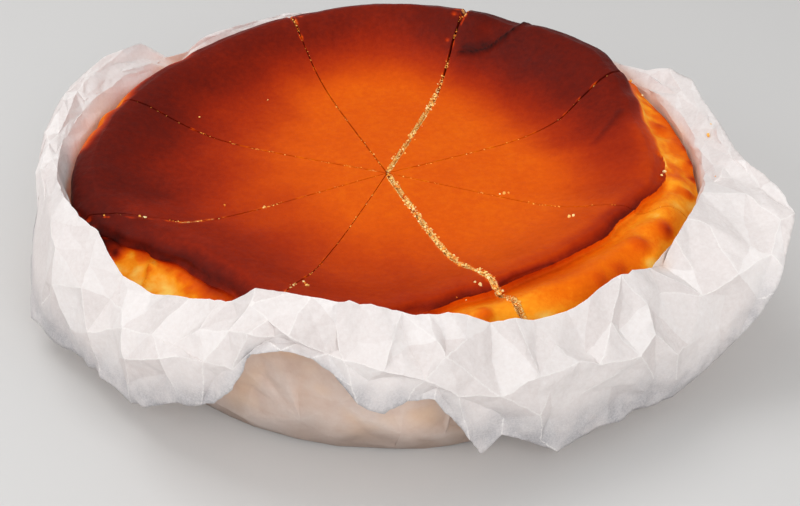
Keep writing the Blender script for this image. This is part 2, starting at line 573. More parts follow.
def browning(place, degrees, station):
    """How brown the skin is, from 0 for pale cheese to 1 for burnt black."""
    cloud = bump_noise(place, 21.0 * MM, 11.0) + 0.5 * bump_noise(place, 8.0 * MM, 12.0)
    burnt = local_marks(place)[1]
    if station <= CREST:
        start, full, dark = amounts(TOP_BROWNING, degrees)
        share = clamp((station - start) / (full - start) + 0.04 * cloud)
        ground = lerp(MIDDLE_BROWNING, dark, smooth(share))
        close = smooth((station - 0.93) / 0.07)
        return lerp(ground, rim_level(degrees, CREST), close) + 0.02 * cloud + burnt
    patches = bump_noise(place, 6.0 * MM, 13.0) + 0.4 * bump_noise(place, 2.5 * MM, 15.0)
    uneven = smooth((station - 1.9) / 0.8) * smooth((BROW + 0.7 - station) / 0.7)
    rough = uneven * max(within(degrees, *stretch) for stretch in ROUGH_STRETCHES)
    return rim_level(degrees, station) + 0.06 * uneven * cloud + 0.13 * rough * patches + burnt


def cut_distance(left, right, place):
    """How far a point is from the nearer of a slice's two cuts, and that cut."""
    flat = Vector((place.x, place.y))
    best = (1.0, left)
    for cut in (left, right):
        radius = (flat - CUT_CENTRE).length
        turn = math.radians(along(cut[0], radius / MM))
        line = Vector((math.cos(turn), math.sin(turn)))
        away = abs((flat - CUT_CENTRE).cross(line)) - half_width(cut, radius)
        best = min(best, (away, cut), key=lambda pair: pair[0])
    return best


def torn_patches(place, crumbs):
    """How torn a cut's edge is at a point: all along where the knife crumbled it, in short bits elsewhere."""
    broken = crumbs + 0.9 * bump_noise(place, 3.4 * MM, 21.0) + 0.35 * bump_noise(place, 1.2 * MM, 22.0)
    return smooth((broken - 0.36) / 0.4)


def cut_face_line(left, right, column, station, height):
    """The bottom of the groove under a point of a cut's edge, and the point of the base below it."""
    groove, _, radius = skin_place(left, right, column, station, 0.0, GROOVE_SHARE)
    cut = left if 2 * column < SLICE_COLUMNS else right
    groove.z = max(CAKE_BOTTOM, height - lerp(*GROOVE_DEPTHS, crumbliness(cut, radius)))
    if station < CREST:
        return groove, Vector((groove.x, groove.y, CAKE_BOTTOM))
    return groove, skin_place(left, right, column, FOOT, 0.0, GROOVE_SHARE)[0]


def how_torn(place, cut, radius):
    """How torn the skin is at a point by a cut, and how wide the torn strip is there as a share."""
    crumbs = crumbliness(cut, radius)
    return torn_patches(place, crumbs), smooth((crumbs - 0.35) / 0.4)


def lay_skin(bm, left, right, stations):
    """Lays a grid over a slice's top and side, and marks how brown and how torn it is."""
    last = len(stations) - 1
    bmesh.ops.create_grid(bm, x_segments=SLICE_COLUMNS, y_segments=last, size=1.0)
    columns = bm.verts.layers.int.new("column")
    rows = bm.verts.layers.int.new("row")
    brown = bm.verts.layers.float.new("browning")
    torn = bm.verts.layers.float.new("torn")
    for vertex in bm.verts:
        column = round((vertex.co.x + 1.0) * SLICE_COLUMNS / 2)
        row = round((vertex.co.y + 1.0) * last / 2)
        vertex[columns] = column
        vertex[rows] = row
        place, degrees, radius = skin_place(left, right, column, stations[row])
        vertex.co = place
        away, cut = cut_distance(left, right, place)
        patches, wide = how_torn(place, cut, radius)
        uneven = 0.8 + 0.7 * bump_noise(place, 2.0 * MM, 20.0) + 0.6 * bump_noise(place, 6.5 * MM, 23.0)
        reach = (0.3 + 0.4 * crumbliness(cut, radius)) * MM * uneven
        vertex[torn] = patches * wide * (1.0 - smooth(away / max(reach, 0.1 * MM)))
        fringe = patches * (1.0 - smooth(away / max(1.8 * reach, 0.2 * MM)))
        level = browning(place, degrees, stations[row])
        vertex[brown] = lerp(level, min(level, PALE_FRINGE), 0.8 * fringe)
    bmesh.ops.remove_doubles(bm, verts=[v for v in bm.verts if v[rows] == 0], dist=0.01 * MM)
    bm.normal_update()


def push_skin(bm, stations):
    """Gives the skin its relief, all but the bottom row, without turning it round the cake."""
    rows = bm.verts.layers.int["row"]
    pushes = []
    for vertex in bm.verts:
        outward = Vector((vertex.co.x, vertex.co.y, 0.0)).normalized()
        normal = outward * vertex.normal.dot(outward) + Vector((0.0, 0.0, vertex.normal.z))
        relief = rim_relief(vertex.co, angle_of(vertex.co), stations[vertex[rows]])
        pushes.append((vertex, normal * relief))
    for vertex, push in pushes:
        if vertex[rows] < len(stations) - 1:
            vertex.co += push


def draw_cut_faces(bm, left, right, stations):
    """Draws the skin's edge down the groove of each cut, and on to the base."""
    columns = bm.verts.layers.int["column"]
    rows = bm.verts.layers.int["row"]
    brown = bm.verts.layers.float["browning"]
    torn = bm.verts.layers.float["torn"]
    rim_edges = [edge for edge in bm.edges if edge.is_boundary]
    lines = {}
    for step in CUT_STEPS:
        drawn = bmesh.ops.extrude_edge_only(bm, edges=rim_edges)["geom"]
        rim_edges = [item for item in drawn if isinstance(item, bmesh.types.BMEdge) and item.is_boundary]
        for vertex in [item for item in drawn if isinstance(item, bmesh.types.BMVert)]:
            column, row = vertex[columns], vertex[rows]
            if (column, row) not in lines:
                cut = left if 2 * column < SLICE_COLUMNS else right
                ends = cut_face_line(left, right, column, stations[row], vertex.co.z)
                radius = (vertex.co.to_2d() - CUT_CENTRE).length
                lines[column, row] = ends + how_torn(vertex.co, cut, radius)
            groove, foot, pale, wide = lines[column, row]
            vertex.co = groove.lerp(foot, step)
            vertex[brown] = lerp(vertex[brown], PALE_INSIDE, pale)
            vertex[torn] = pale * wide


def make_slice(name, left, right, finish):
    """A wedge: a grid laid over its top and side, whose rim is drawn down the two cut faces to the base."""
    stations = row_stations()
    bm = bmesh.new()
    lay_skin(bm, left, right, stations)
    push_skin(bm, stations)
    draw_cut_faces(bm, left, right, stations)
    bmesh.ops.remove_doubles(bm, verts=bm.verts, dist=0.005 * MM)
    bmesh.ops.dissolve_degenerate(bm, edges=bm.edges, dist=0.003 * MM)
    bmesh.ops.holes_fill(bm, edges=[edge for edge in bm.edges if edge.is_boundary], sides=0)
    bmesh.ops.triangulate(bm, faces=[face for face in bm.faces if len(face.verts) > 4])
    bmesh.ops.recalc_face_normals(bm, faces=bm.faces)
    return finished(name, bm, finish, 50.0)


def finished(name, bm, finish, sharp_angle):
    mesh = bpy.data.meshes.new(name)
    bm.to_mesh(mesh)
    bm.free()
    mesh.shade_smooth()
    mesh.set_sharp_from_angle(angle=math.radians(sharp_angle))
    mesh.materials.append(finish)
    thing = bpy.data.objects.new(name, mesh)
    bpy.context.scene.collection.objects.link(thing)
    return thing


# The parchment.

PAPER_UNDER = 0.2 * MM
PAPER_GAP = 0.9 * MM
LEAST_GAP = 0.5 * MM
PAPER_WALL = 0.15 * MM
PAPER_SEED = 11

# Places on the sheet, counted from its middle: the ends of the floor and the wall, the lip, the free edge.
FLOOR_EDGE = 1.0
WALL_TOP = 4.0
LIP = 5.0
FREE_EDGE = 7.0


def paper_stations(degrees):
    """The bends of the sheet at one angle, from the middle of the floor to the free edge."""
    lip, fold, edge = around(PAPER_SECTIONS, degrees)
    brow = around(RIM_SECTIONS, degrees)[3]
    rows = [(0.0, PAPER_UNDER)]
    for share, _ in SIDE_INSETS:
        rows.append((side_radius(degrees, brow[0], share) + PAPER_GAP, lerp(PAPER_UNDER, brow[1], share)))
    return rows + [lip, fold, edge]


def paper_point(degrees, place):
    rows = paper_stations(degrees)
    index = min(int(place), len(rows) - 2)
    radius = lerp(rows[index][0], rows[index + 1][0], place - index)
    height = lerp(rows[index][1], rows[index + 1][1], place - index)
    turn = math.radians(degrees)
    return Vector((radius * math.cos(turn), radius * math.sin(turn), height))


def paper_normal(degrees, place):
    step = 0.15
    place = clamp(place, step, FREE_EDGE - step)
    turned = paper_point(degrees + 1.5, place) - paper_point(degrees - 1.5, place)
    rising = paper_point(degrees, place + step) - paper_point(degrees, place - step)
    return turned.cross(rising).normalized()


# Rows of crease points scattered over the sheet: place between the bends, points round the cake, how far the
# points wander along and across the row, and how far in mm the facets between them stand in or out.
CREASE_ROWS = (
    (1, 60, 0, 0, 0), (1.4, 66, 0.4, 0.2, 0.9), (2, 60, 0.45, 0.3, 0.9), (2.9, 58, 0.45, 0.3, 1.1),
    (3.7, 58, 0.45, 0.2, 0.9), (4.45, 48, 0.45, 0.15, 0.9), (5.45, 40, 0.48, 0.2, 1.3),
    (6, 38, 0.48, 0.2, 1.8), (6.55, 42, 0.48, 0.2, 1.7),
)
EDGE_WAVE = 1.0

# How much the sheet crumples round the cake: angle, then the facets' depth as a share of the rows' own.
CRUMPLING = (
    (0, 0.5), (30, 0.45), (90, 0.45), (140, 0.35), (165, 0.35), (190, 0.45), (208, 0.8), (250, 1), (300, 1),
    (325, 0.7), (342, 0.45),
)

# The boldest ridges, each a line of points on the sheet: angle, place, and how far it stands out in mm.
RIDGES = (
    ((250.4, 5, 0), (250.8, 5.4, 2.4), (248.2, 5.85, 0.8), (251.6, 6.1, 2.8), (249, 6.6, 0.5)),
    ((204.7, 5.5, 1.4), (208.5, 5.3, 1.2), (212.6, 5, 0)),
    ((204.7, 5.5, 1.4), (210.2, 5.7, 2), (212, 6.15, 2.4), (216.3, 6.55, 1.8), (219, 7, 0.6)),
    ((214.8, 5.35, 0.8), (217.5, 5.8, 2.2), (220.5, 6.25, 2), (222.5, 7, 0.8)),
    ((224, 5.16, 0.3), (225.8, 5.5, 1.6), (228.4, 5.78, 3), (230.9, 6.16, 3.2), (230.2, 6.6, 1.8)),
    ((221.5, 5.5, -0.6), (225.2, 5.95, -1), (226.8, 6.4, -0.8)),
    ((233.9, 5.2, 0.4), (235, 5.75, 2), (238, 6.1, 2.6), (240.5, 6.8, 1.2)),
    ((244, 5, 0), (243, 5.6, 1.8), (245, 6.2, 2.2), (244, 7, 0.5)),
    ((253.5, 5.7, 0.6), (256.8, 6.05, 2.8), (260.2, 5.6, 0.6), (261.3, 5.25, 0.4)),
    ((259, 5, 0), (257.5, 5.45, 1.6)),
    ((262.8, 5.45, 0.6), (264.2, 6.1, 2.6), (265.2, 6.6, 2.2), (266, 7, 1)),
    ((262.8, 5.45, 0.6), (266, 5.7, 0.8), (269.4, 6, 2.2)),
    (
        (272.2, 5, 0), (270.6, 5.5, 2), (269.4, 6, 2.4),
        (274.8, 6.15, 2), (276.6, 5.45, 2.2), (276.2, 5, 0),
    ),
    ((276.6, 5.45, 2.2), (277.4, 5.7, 3), (281.2, 5.35, 0.8), (282, 5, 0)),
    ((277.4, 5.7, 3), (279.2, 6.3, 1.5), (280.6, 7, 1.4)),
    ((291, 6.9, 1), (290.4, 6.45, 2.6), (290.2, 5.9, 3.2), (296.8, 5.72, 3.2), (299.8, 5.85, 2.6)),
    ((304.5, 5.4, 1), (306.3, 5.9, 3), (310, 5.75, 2.6), (313, 6.1, 1.6), (314, 6.6, 2)),
    ((292.5, 5, 0), (294.5, 5.4, 2), (296.8, 5.72, 3.2)),
    ((309.5, 5, 0), (311, 5.4, 1.8), (310, 5.75, 2.6)),
    ((314.8, 5.35, 0.6), (320.4, 5.65, 3.2), (326, 5.8, 3.4), (330.5, 6.3, 2.4), (330, 7, 0.6)),
    ((315.5, 6.15, -0.8), (321.5, 6.3, -1.2), (326.5, 6.6, -0.6)),
    ((292.5, 6.5, -0.6), (297.5, 6.25, -1.2), (302.5, 6.3, -0.8)),
    ((258, 6.3, -0.8), (262, 6.2, -0.4)),
    ((343.5, 5.3, 0.6), (345, 6, 1.6), (342, 6.7, 1.6)),
    ((188, 5.4, 0.4), (190, 6, 1.2), (189, 6.7, 1)),
    ((168, 5.3, 0.3), (167, 6.2, 1), (169, 7, 0.6)),
    ((237, 1.15, 0.6), (238, 2, 1.6), (236.5, 3.2, 1.4)),
    ((245.5, 1.1, 0.4), (244.5, 1.7, 1.8), (247, 2.8, 1), (246, 3.8, 1.6)),
    ((254, 1.15, 0.6), (255.5, 2.2, 1.8), (253.5, 3.4, 1.2)),
    ((261, 1.1, 0.4), (260, 1.8, 1.4), (262.5, 2.9, 1.9), (261, 3.8, 1)),
    ((271, 1.15, 0.6), (272, 2.1, 1.7), (270, 3, 1.1)),
    ((280.5, 1.1, 0.5), (279, 1.9, 1.6), (280, 2.9, 1.8)),
    ((288, 1.15, 0.5), (289.5, 2, 1.5), (288, 3, 1.2)),
)

# The small crumples: how far they stand out and slide as shares of the facet's size, in rounds, until no edge
# is longer than the finest. They lie in clusters.
FINE_CRUMPLES = (0.11, 0.06, 0.03, 0.012)
FINE_SLIDE = 0.1
FINEST_EDGE = 1.9 * MM
CLUSTER_SIZE = 17.0 * MM
FLAT_BELOW = 2.0 * MM
# Scattered points keep this far from the ridges, and edges bent by more than this angle wear white.
POINT_CLEARANCE = 0.17
RIDGE_ANGLE = math.radians(20.0)

# Where the cake shows through the sheet and how far above it, how far off the sheet hangs free, and how high
# its darker foot reaches.
SHOWS_WITHIN = 7.0 * MM
SHOWS_ABOVE = 6.0 * MM
HANGS_BEYOND = 6.0 * MM
FOOT_HEIGHT = 22.0 * MM
FAR_FROM_RIDGE = 9.0


def flat_place(degrees, place):
    """The sheet laid out flat, so that crease points can be joined up without a seam."""
    turn = math.radians(degrees)
    return Vector(((1.0 + place) * math.cos(turn), (1.0 + place) * math.sin(turn)))


def sheet_point(degrees, place, push):
    """A point of the sheet that stands out by a push in mm; a flap turned down shows its other face."""
    lip, _, edge = around(PAPER_SECTIONS, degrees)
    side = -1.0 if place > LIP and edge[1] < lip[1] else 1.0
    point = paper_point(degrees, place) + paper_normal(degrees, place) * side * push * MM
    point.z = max(point.z, PAPER_UNDER)
    return point


def crease_points(rng):
    """Crease points of the sheet as angle, place and push in mm, and the pairs that a crease must join."""
    points = []
    joined = []
    for line in RIDGES:
        known = [point for point in line if point in points]
        points += [point for point in line if point not in known]
        numbers = [points.index(point) for point in line]
        joined += list(zip(numbers, numbers[1:]))
    taken = [flat_place(*point[:2]) for point in points]
    loose = [(row[0], LIP, 0.0) for row in PAPER_SECTIONS]
    loose += [(row[0], FREE_EDGE, EDGE_WAVE * rng.uniform(-1.0, 1.0)) for row in PAPER_SECTIONS]
    for place, count, slide, wander, depth in CREASE_ROWS:
        for index in range(count):
            degrees = 360.0 * (index + slide * rng.uniform(-1.0, 1.0)) / count
            here = clamp(place + wander * rng.uniform(-1.0, 1.0), FLOOR_EDGE, FREE_EDGE)
            push = depth * rng.uniform(-1.0, 1.0)
            if here < WALL_TOP + 0.2:
                push = abs(push) * (0.7 + 1.2 * abs(noise_along(degrees * MM, 5.0 * MM, 17.0)))
            else:
                push *= amounts(CRUMPLING, degrees)[0]
            loose.append((degrees, here, push))
    for point in loose:
        flat = flat_place(*point[:2])
        if min((flat - other).length for other in taken) > POINT_CLEARANCE:
            points.append(point)
    for ring in (LIP, FREE_EDGE):
        numbers = [number for number, point in enumerate(points) if point[1] == ring]
        numbers.sort(key=lambda number: points[number][0] % 360.0)
        joined += list(zip(numbers, numbers[1:] + numbers[:1]))
    points.append((0.0, -1.0, 0.0))
    return points, joined


def creased_sheet(rng):
    """The sheet in coarse facets, with its ridges marked."""
    points, joined = crease_points(rng)
    flats = [flat_place(*point[:2]) for point in points]
    flats, _, faces, source, _, _ = geometry.delaunay_2d_cdt(flats, joined, [], 1, 1e-5)
    bm = bmesh.new()
    for flat, origin in zip(flats, source):
        if origin:
            degrees, place, push = points[origin[0]]
        else:
            degrees, place, push = math.degrees(math.atan2(flat.y, flat.x)), flat.length - 1.0, 1.0
        if place < 0.0:
            bm.verts.new(Vector((0.0, 0.0, PAPER_UNDER)))
        else:
            bm.verts.new(sheet_point(degrees, place, push))
    bm.verts.ensure_lookup_table()
    for face in faces:
        bm.faces.new([bm.verts[index] for index in face])
    face_outwards(bm)
    veil = bm.faces.layers.float.new("veil")
    for face in bm.faces:
        cloud = bump_noise(face.calc_center_median(), 12.0 * MM, 40.0)
        face[veil] = clamp(0.45 + 0.8 * cloud + 0.3 * rng.uniform(-1.0, 1.0))
    ridge = bm.edges.layers.int.new("ridge")
    for edge in bm.edges:
        middle = edge.verts[0].co.lerp(edge.verts[1].co, 0.5)
        if len(edge.link_faces) < 2 or lies_on_cake(middle, angle_of(middle)):
            continue
        shown = (edge.link_faces[0].normal + edge.link_faces[1].normal).dot(middle)
        if math.copysign(1.0, shown) * edge.calc_face_angle_signed() > RIDGE_ANGLE:
            edge[ridge] = 1
    return bm


def lies_on_cake(place, degrees):
    brow = around(RIM_SECTIONS, degrees)[3]
    return place.z < brow[1] and math.hypot(place.x, place.y) < brow[0] + 3.0 * MM


def face_outwards(bm):
    """Turns the sheet's faces away from the cake, which is down on the floor under it."""
    bmesh.ops.recalc_face_normals(bm, faces=bm.faces)
    floor = min(bm.faces, key=lambda face: face.calc_center_median().length)
    if floor.normal.z > 0.0:
        bmesh.ops.reverse_faces(bm, faces=bm.faces)
    bm.normal_update()


def crumple_finely(bm, rng):
    """Breaks every facet into smaller and smaller ones, each knocked a little out of plane."""
    for depth in FINE_CRUMPLES:
        bm.normal_update()
        coarse = [
            edge for edge in bm.edges
            if edge.calc_length() > FINEST_EDGE and max(v.co.z for v in edge.verts) > 1.0 * MM
        ]
        split = bmesh.ops.subdivide_edges(bm, edges=coarse, cuts=1)["geom_inner"]
        fresh = [item for item in split if isinstance(item, bmesh.types.BMVert)]
        bmesh.ops.triangulate(bm, faces=bm.faces)
        face_outwards(bm)
        for vertex in fresh:
            reach = max(edge.calc_length() for edge in vertex.link_edges)
            degrees = angle_of(vertex.co)
            clustered = clamp(0.75 + 1.6 * bump_noise(vertex.co, CLUSTER_SIZE, 44.0), 0.15, 1.5)
            crumpled = (0.35 + 0.65 * amounts(CRUMPLING, degrees)[0]) * clustered
            push = depth * reach * rng.uniform(-1.0, 1.0) * crumpled
            slide = Vector((rng.uniform(-1.0, 1.0), rng.uniform(-1.0, 1.0), rng.uniform(-1.0, 1.0)))
            slide = (slide - vertex.normal * slide.dot(vertex.normal)) * FINE_SLIDE * reach
            if vertex.co.z < FLAT_BELOW:
                push = 0.0
                slide.zero()
            if lies_on_cake(vertex.co, degrees):
                push = 0.6 * abs(push)
                slide.zero()
            vertex.co += vertex.normal * push + slide


def keep_off_cake(bm):
    """Moves the sheet outwards where a facet would cut through the cake's side."""
    for vertex in bm.verts:
        degrees = angle_of(vertex.co)
        brow = around(RIM_SECTIONS, degrees)[3]
        radius = vertex.co.to_2d().length
        least = side_radius(degrees, brow[0], clamp(vertex.co.z / brow[1])) + LEAST_GAP
        if CAKE_BOTTOM < vertex.co.z < brow[1] and radius < least:
            vertex.co.x *= least / radius
            vertex.co.y *= least / radius


def mark_paper(bm):
    """Marks where the cake shows through the sheet, where it hangs free or is low, and its ridges."""
    touch = bm.verts.layers.float.new("touching")
    hanging = bm.verts.layers.float.new("hanging")
    near_floor = bm.verts.layers.float.new("low")
    for vertex in bm.verts:
        degrees = angle_of(vertex.co)
        height = vertex.co.z
        brow = around(RIM_SECTIONS, degrees)[3]
        lip, _, edge = around(PAPER_SECTIONS, degrees)
        away = vertex.co.to_2d().length - side_radius(degrees, brow[0], clamp(height / brow[1]))
        beside = smooth(1.0 - away / SHOWS_WITHIN)
        vertex[touch] = beside * smooth((brow[1] + SHOWS_ABOVE - height) / (8.0 * MM))
        low = smooth((lip[1] - height) / (lip[1] - edge[1] + 8.0 * MM) * 2.4 - 1.0)
        vertex[hanging] = low * smooth((away - HANGS_BEYOND) / (6.0 * MM))
        patchy = height + 6.0 * MM * bump_noise(vertex.co, 14.0 * MM, 51.0)
        vertex[near_floor] = smooth(1.0 - patchy / FOOT_HEIGHT)
    ridge = bm.edges.layers.int["ridge"]
    veil = bm.faces.layers.float["veil"]
    from_ridge = bm.loops.layers.float.new("from_ridge")
    veiled = bm.loops.layers.float.new("veiled")
    for face in bm.faces:
        for loop in face.loops:
            loop[from_ridge] = FAR_FROM_RIDGE
            loop[veiled] = face[veil]
        for edge in [edge for edge in face.edges if edge[ridge]]:
            start = edge.verts[0].co
            along_edge = (edge.verts[1].co - start).normalized()
            for loop in face.loops:
                away = (loop.vert.co - start).cross(along_edge).length / MM
                loop[from_ridge] = min(loop[from_ridge], away)


def make_parchment(finish):
    """One thin crumpled sheet: creases joined into facets, each broken again into smaller ones."""
    rng = random.Random(PAPER_SEED)
    bm = creased_sheet(rng)
    crumple_finely(bm, rng)
    keep_off_cake(bm)
    face_outwards(bm)
    mark_paper(bm)
    sheet = finished("parchment_sheet", bm, finish, 34.0)
    wall = sheet.modifiers.new("paper thickness", "SOLIDIFY")
    wall.thickness = PAPER_WALL
    wall.offset = 0.0
    return sheet


# The crumbs.

CRUMB_SEED = 5
CRUMBS_ALONG_CUT = (260, 700, 220, 240, 300, 220, 800, 240)
CRUMB_SIZES = (0.2 * MM, 0.7 * MM)
CRUMBS_REACH = 112.0 * MM
CRUMBS_SPREAD = 0.5 * MM
CRUMBS_SUNK = 0.4 * MM

# Crumbs that fell away from the cuts: radius in mm, angle in degrees, radius of the crumb in mm.
STRAY_CRUMBS = (
    (48.4, 337.8, 0.95), (50, 338.6, 0.6), (47, 336.6, 0.5), (79.5, 326.6, 0.9), (80.8, 327.2, 0.7),
    (98.6, 208.7, 0.8), (100, 208, 0.6), (66.1, 202.8, 0.6), (90.2, 252.8, 0.9), (88.8, 252, 0.7),
    (87.2, 251.2, 0.5), (93.8, 289.2, 0.9), (92.5, 288.4, 0.7), (95.6, 292.1, 0.9), (97.2, 285.5, 0.45),
    (96.8, 284.6, 0.4), (96.4, 283.7, 0.35), (107.5, 348.7, 0.9), (108.3, 350.2, 0.7), (106.6, 347.4, 0.6),
    (116.3, 20.9, 0.7), (114.5, 24.4, 1.3), (71.5, 134.5, 0.4), (83, 157.5, 0.5),
)
# Crumbs that fell on the parchment: angle, place on the sheet, radius in mm.
PAPER_CRUMBS = ((358.9, 5.7, 0.9), (1.5, 6.2, 0.4), (345.0, 5.4, 0.35))


def skin_height(degrees, radius):
    """Height of the cake's top at a radius."""
    crest = around(RIM_SECTIONS, degrees)[0][0]
    if radius <= crest:
        return crust_point(degrees, radius / crest)[1]
    tries = [crust_point(degrees, CREST + 0.1 * i) for i in range(31)]
    return min(tries, key=lambda point: abs(point[0] - radius))[1]


def add_crumb(bm, shade_layer, place, size, rng, toasted=0.0):
    """One crumb: a small ball, squashed, turned and knocked out of shape."""
    turned = rng.uniform(0.0, math.tau)
    turn = Matrix.Rotation(turned, 4, Vector((rng.random(), rng.random(), 1.0)).normalized())
    squash = Matrix.Diagonal((1.0, rng.uniform(0.6, 0.95), rng.uniform(0.5, 0.8), 1.0))
    placed = Matrix.Translation(place) @ turn @ squash
    ball = bmesh.ops.create_icosphere(bm, subdivisions=1, radius=size, matrix=placed)["verts"]
    shade = lerp(toasted, 1.0, rng.random())
    for vertex in ball:
        vertex.co += (vertex.co - place) * 0.55 * bump_noise(vertex.co, 0.8 * size, 30.0)
        vertex[shade_layer] = shade


def crumbs_along(cut, count, bm, shade, rng):
    """Crumbs in and beside a cut, in heaps where the knife crumbled it and toasted where it did not."""
    for _ in range(count):
        radius = CRUMBS_REACH * rng.random() ** 0.8
        loose = crumbliness(cut, radius)
        half = half_width(cut, radius)
        side = half * rng.uniform(-1.0, 1.0) + CRUMBS_SPREAD * loose * rng.gauss(0.0, 1.0)
        degrees = cut_angle(cut, radius) + math.degrees(side / max(radius, 2.0 * MM))
        size = lerp(*CRUMB_SIZES, rng.random() ** 2) * lerp(0.6, 1.0, loose)
        sunk = CRUMBS_SUNK * clamp(1.0 - abs(side) / half)
        height = skin_height(degrees, radius) + 0.2 * size - sunk
        heaped = 0.5 + 2.0 * noise_along(radius, 5.5 * MM, 33.0, cut[0][0][1] * MM)
        if rng.random() <= (loose + 0.1) * heaped:
            toasted = 0.55 * smooth((0.7 - loose) / 0.4)
            add_crumb(bm, shade, place_on_cake(radius, degrees, height), size, rng, toasted)


def make_crumbs(finish, sheet):
    """The crumbs along the cuts, on the top and on the sheet."""
    rng = random.Random(CRUMB_SEED)
    bm = bmesh.new()
    shade = bm.verts.layers.float.new("shade")
    for cut, count in zip(CUTS, CRUMBS_ALONG_CUT):
        crumbs_along(cut, count, bm, shade, rng)
    for radius, degrees, size in STRAY_CRUMBS:
        height = skin_height(degrees, radius * MM) + 0.35 * size * MM
        add_crumb(bm, shade, place_on_cake(radius * MM, degrees, height), size * MM, rng)
    corners = [vertex.co for vertex in sheet.data.vertices]
    ground = BVHTree.FromPolygons(corners, [face.vertices for face in sheet.data.polygons])
    for degrees, place, size in PAPER_CRUMBS:
        spot, normal, _, _ = ground.find_nearest(sheet_point(degrees, place, 0.0))
        upward = normal if normal.z > 0.0 else -normal
        add_crumb(bm, shade, spot + upward * 0.7 * size * MM, size * MM, rng)
    bmesh.ops.recalc_face_normals(bm, faces=bm.faces)
    return finished("crumbs", bm, finish, 35.0)


# Finishes.


def tone(red, green, blue):
    """A colour named by its 0 to 255 values on a screen."""
    return (*(((c / 255 + 0.055) / 1.055) ** 2.4 for c in (red, green, blue)), 1.0)


# The cheese's colours as it browns, from soft inside to burnt black.
BAKED_TONES = (
    (0.00, tone(247, 198, 92)),
    (0.12, tone(245, 152, 30)),
    (0.22, tone(230, 108, 8)),
    (0.32, tone(215, 85, 6)),
    (0.45, tone(192, 65, 7)),
    (0.58, tone(166, 46, 8)),
    (0.70, tone(139, 33, 9)),
    (0.82, tone(105, 23, 10)),
    (0.92, tone(79, 19, 13)),
    (1.00, tone(46, 18, 16)),
)


def make_grain():
    """Noise on a piece's own coordinates, as a node group that every finish places with its own values."""
    group = bpy.data.node_groups.new("grain", "ShaderNodeTree")
    given = group.nodes.new("NodeGroupInput")
    made = group.nodes.new("NodeGroupOutput")
    place = group.nodes.new("ShaderNodeTexCoord")
    texture = group.nodes.new("ShaderNodeTexNoise")
    group.interface.new_socket("Fac", in_out="OUTPUT", socket_type="NodeSocketFloat")
    for name in ("Scale", "Detail", "Roughness"):
        group.interface.new_socket(name, in_out="INPUT", socket_type="NodeSocketFloat")
        group.links.new(given.outputs[name], texture.inputs[name])
    group.links.new(place.outputs["Object"], texture.inputs["Vector"])
    group.links.new(texture.outputs["Fac"], made.inputs["Fac"])
    return group


GRAIN = make_grain()


# The torn cheese inside the cuts, and the crumbs from pale to toasted.
INSIDE_TONES = ((0.3, tone(243, 158, 56)), (0.5, tone(253, 206, 116)), (0.75, tone(255, 236, 180)))
CRUMB_TONES = (
    (0.0, tone(255, 236, 176)),
    (0.45, tone(254, 208, 118)),
    (0.8, tone(247, 162, 58)),
    (1.0, tone(228, 108, 24)),
)


class Finish:
    """A material under construction: adds nodes, sets their values and links them."""

    def __init__(self, name):
        self.material = bpy.data.materials.new(name)
        self.material.use_nodes = True
        self.tree = self.material.node_tree
        self.shader = self.tree.nodes["Principled BSDF"]
        self.output = self.tree.nodes["Material Output"]

    def add(self, kind, **settings):
        node = self.tree.nodes.new(kind)
        for key, value in settings.items():
            setattr(node, key, value)
        return node

    def link(self, source, target):
        self.tree.links.new(source, target)

    def attribute(self, name):
        return self.add("ShaderNodeAttribute", attribute_name=name).outputs["Fac"]

    def noise(self, size, detail=4.0, roughness=0.5):
        """Noise whose features have this size in metres, on the piece's own coordinates."""
        grain = self.add("ShaderNodeGroup", node_tree=GRAIN)
        grain.inputs["Scale"].default_value = 1.0 / size
        grain.inputs["Detail"].default_value = detail
        grain.inputs["Roughness"].default_value = roughness
        return grain.outputs["Fac"]

    def math(self, operation, first, second, clamped=False):
        node = self.add("ShaderNodeMath", operation=operation, use_clamp=clamped)
        for socket, value in zip(node.inputs, (first, second)):
            if isinstance(value, (int, float)):
                socket.default_value = value
            else:
                self.link(value, socket)
        return node.outputs[0]

    def spread(self, value, low, high, new_low=0.0, new_high=1.0):
        node = self.add("ShaderNodeMapRange")
        self.link(value, node.inputs["Value"])
        for name, number in zip(("From Min", "From Max", "To Min", "To Max"), (low, high, new_low, new_high)):
            node.inputs[name].default_value = number
        return node.outputs["Result"]

    def ramp(self, value, stops):
        node = self.add("ShaderNodeValToRGB")
        elements = node.color_ramp.elements
        elements[0].position, elements[0].color = stops[0]
        elements[1].position, elements[1].color = stops[-1]
        for position, colour in stops[1:-1]:
            elements.new(position).color = colour
        self.link(value, node.inputs["Fac"])
        return node.outputs["Color"]

    def mix(self, share, first, second):
        node = self.add("ShaderNodeMix", data_type="RGBA")
        for socket, value in zip((node.inputs[0], node.inputs[6], node.inputs[7]), (share, first, second)):
            if isinstance(value, (int, float, tuple)):
                socket.default_value = value
            else:
                self.link(value, socket)
        return node.outputs[2]

    def bump(self, height, distance, under=None):
        node = self.add("ShaderNodeBump")
        node.inputs["Distance"].default_value = distance
        node.inputs["Strength"].default_value = 1.0
        self.link(height, node.inputs["Height"])
        if under is not None:
            self.link(under, node.inputs["Normal"])
        return node.outputs["Normal"]


